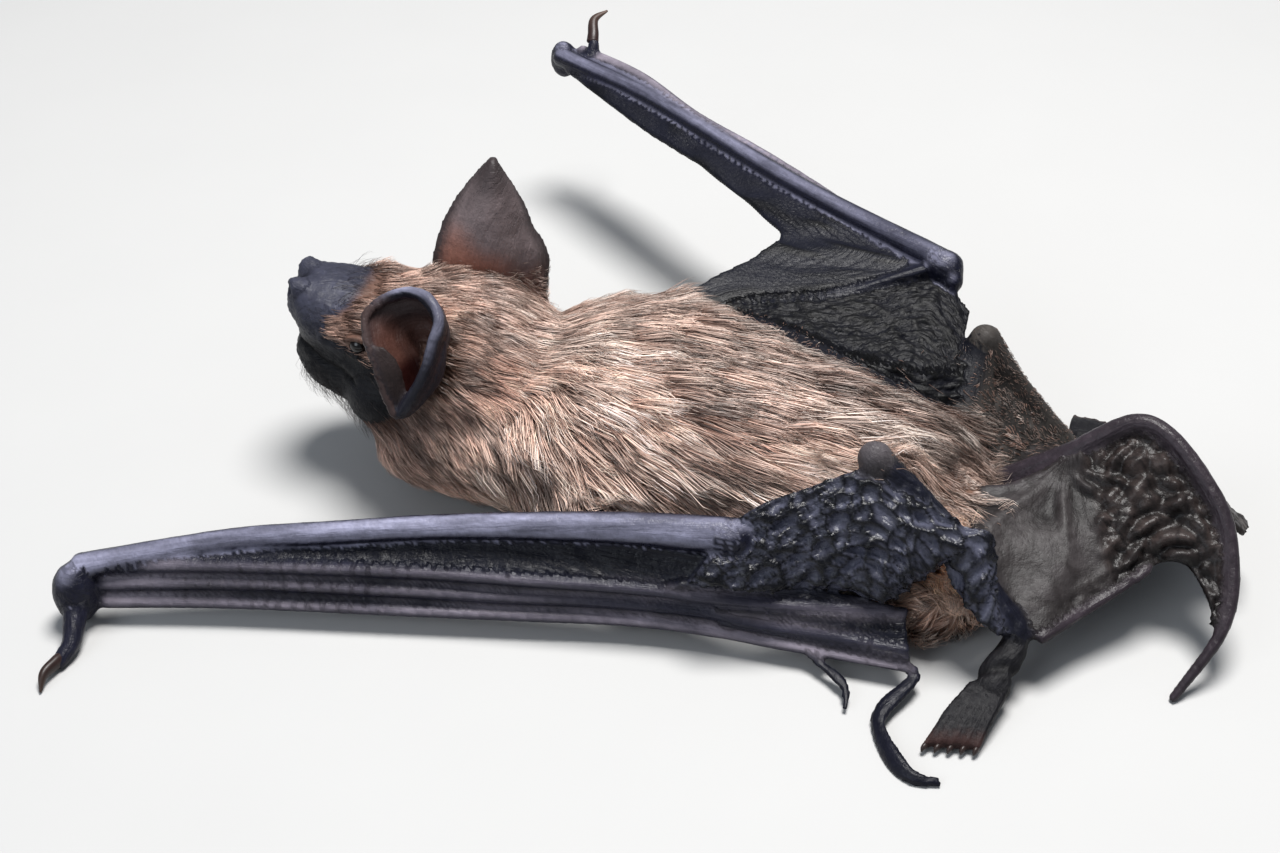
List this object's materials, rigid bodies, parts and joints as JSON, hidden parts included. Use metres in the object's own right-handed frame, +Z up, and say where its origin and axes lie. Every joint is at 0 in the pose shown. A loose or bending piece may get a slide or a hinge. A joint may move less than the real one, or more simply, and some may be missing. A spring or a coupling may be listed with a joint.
{
  "type": "brown bat resting model",
  "caption": "Life-size brown bat lying on its belly, one wing folded along the body and one half open, tail bent to one side.",
  "frame": {"origin": "on the floor under the middle of the trunk, where the belly rests", "axes": "-Y towards the head, +X towards the bat's left side, +Z up"},
  "size_m": [0.0867, 0.0891, 0.0259],
  "materials": {
    "brown_fur": "soft brown fur",
    "dark_skin": "naked blue-black skin, slightly glossy",
    "flight_membrane": "puckered black membrane",
    "tail_membrane": "thin veined grey-brown membrane",
    "ear_skin": "thin dark skin, reddish inside",
    "claw_horn": "polished dark horn",
    "eye": "wet black"
  },
  "bodies": {
    "root": {"calcar_left": "dark_skin", "calcar_right": "dark_skin", "dactylopatagium_left": "flight_membrane", "ear_left": "ear_skin", "ear_right": "ear_skin", "eye_left": "eye", "eye_right": "eye", "fifth_web_left": "flight_membrane", "finger_2_tip_left": "dark_skin", "finger_3_left": "dark_skin", "finger_3_right": "dark_skin", "finger_3_tip_left": "dark_skin", "finger_4_left": "dark_skin", "finger_4_right": "dark_skin", "finger_5_left": "dark_skin", "finger_5_right": "dark_skin", "foot_left": "dark_skin", "foot_right": "dark_skin", "forearm_left": "dark_skin", "forearm_right": "dark_skin", "haunch_left": "brown_fur", "head": "brown_fur", "leg_web_right": "flight_membrane", "lower_jaw": "dark_skin", "muzzle": "dark_skin", "neck": "brown_fur", "nostril_left": "dark_skin", "nostril_right": "dark_skin", "plagiopatagium_left": "flight_membrane", "plagiopatagium_right": "flight_membrane", "propatagium_right": "flight_membrane", "shin_left": "dark_skin", "shin_right": "dark_skin", "tail": "dark_skin", "tail_membrane_left": "tail_membrane", "tail_membrane_right": "tail_membrane", "thigh_left": "dark_skin", "thigh_right": "dark_skin", "thumb_claw_left": "claw_horn", "thumb_claw_right": "claw_horn", "thumb_left": "dark_skin", "thumb_right": "dark_skin", "tragus_left": "dark_skin", "tragus_right": "dark_skin", "trunk": "brown_fur", "upper_arm_left": "dark_skin", "upper_arm_right": "dark_skin", "wing_web_left": "flight_membrane", "wrist_left": "dark_skin", "wrist_right": "dark_skin"}
  },
  "joints": []
}
